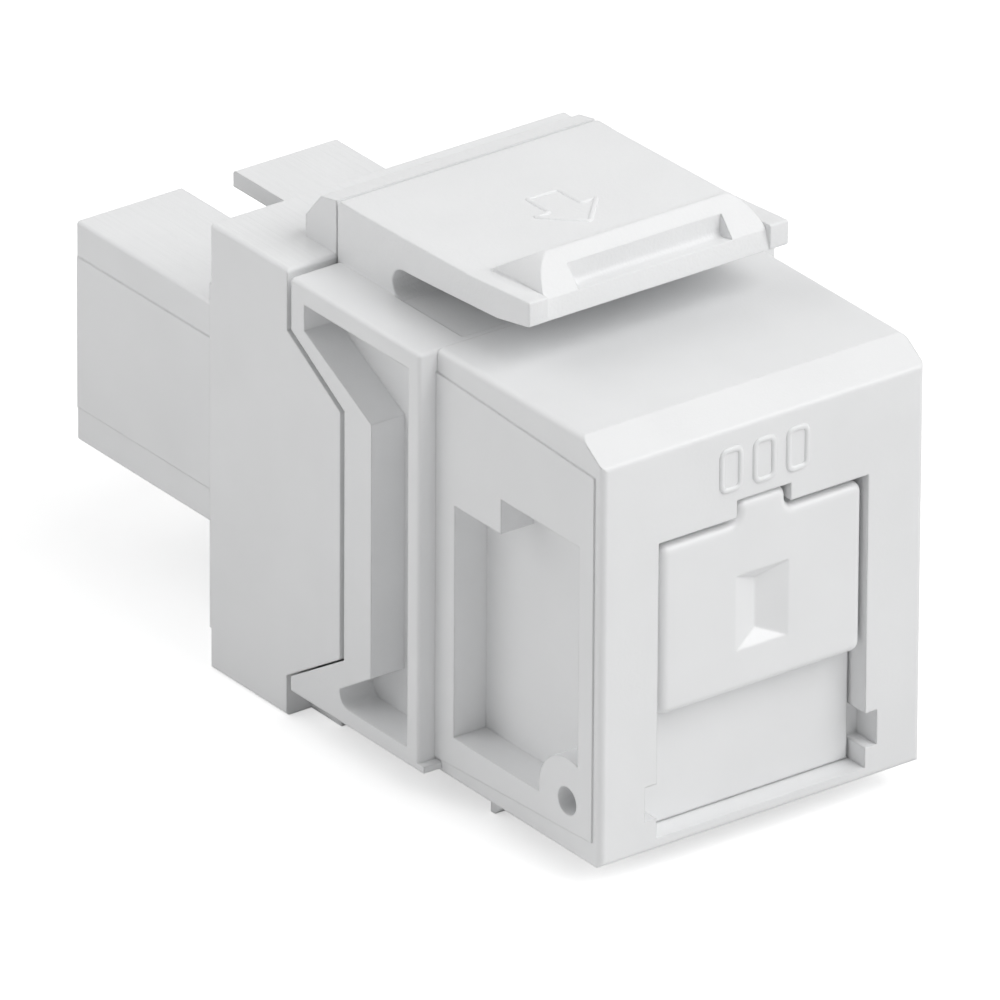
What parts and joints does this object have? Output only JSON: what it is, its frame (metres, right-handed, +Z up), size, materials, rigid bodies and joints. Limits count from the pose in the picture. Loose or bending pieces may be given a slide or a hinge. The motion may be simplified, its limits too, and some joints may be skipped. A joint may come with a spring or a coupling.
{
  "type": "fibre optic adapter",
  "caption": "Snap-in adapter that joins two square push-pull fibre plugs, with a sprung swing-down shutter on the front port and a flexing top latch for a wall plate.",
  "frame": {"origin": "centre of the ferrule sleeve: on the fibre axis, at the plane where the two ferrules meet", "axes": "+Y along the fibre axis to the rear port, +X to the right seen from the shutter's side, +Z up towards the latch"},
  "size_m": [0.016, 0.0342, 0.0219],
  "materials": {
    "white_plastic": "moulded white, half gloss",
    "shutter_plastic": "moulded white, half gloss",
    "clip_plastic": "moulded, natural",
    "steel": "drawn wire and rod, bright",
    "ceramic": "ground, white"
  },
  "bodies": {
    "housing": {"front_housing": "white_plastic", "rear_housing": "white_plastic", "front_clip": "clip_plastic", "rear_clip": "clip_plastic", "alignment_sleeve": "ceramic", "hinge_pin": "steel", "shutter_spring": "steel"},
    "shutter": {"shutter": "shutter_plastic"},
    "latch": {"latch_arm": "white_plastic"}
  },
  "joints": [
    {"name": "shutter_swing", "type": "hinge", "parent": "housing", "child": "shutter", "pos_m": [0, -0.01859, -0.00562], "axis": [-1, 0, 0], "range_deg": [0, 90], "stiffness_Nm_per_rad": 0.002, "springref_deg": -20.05, "deforming": ["shutter_spring"]},
    {"name": "latch_flex", "type": "hinge", "parent": "housing", "child": "latch", "pos_m": [0, -0.00575, 0.01108], "axis": [1, 0, 0], "range_deg": [0, 10], "stiffness_Nm_per_rad": 0.02}
  ]
}
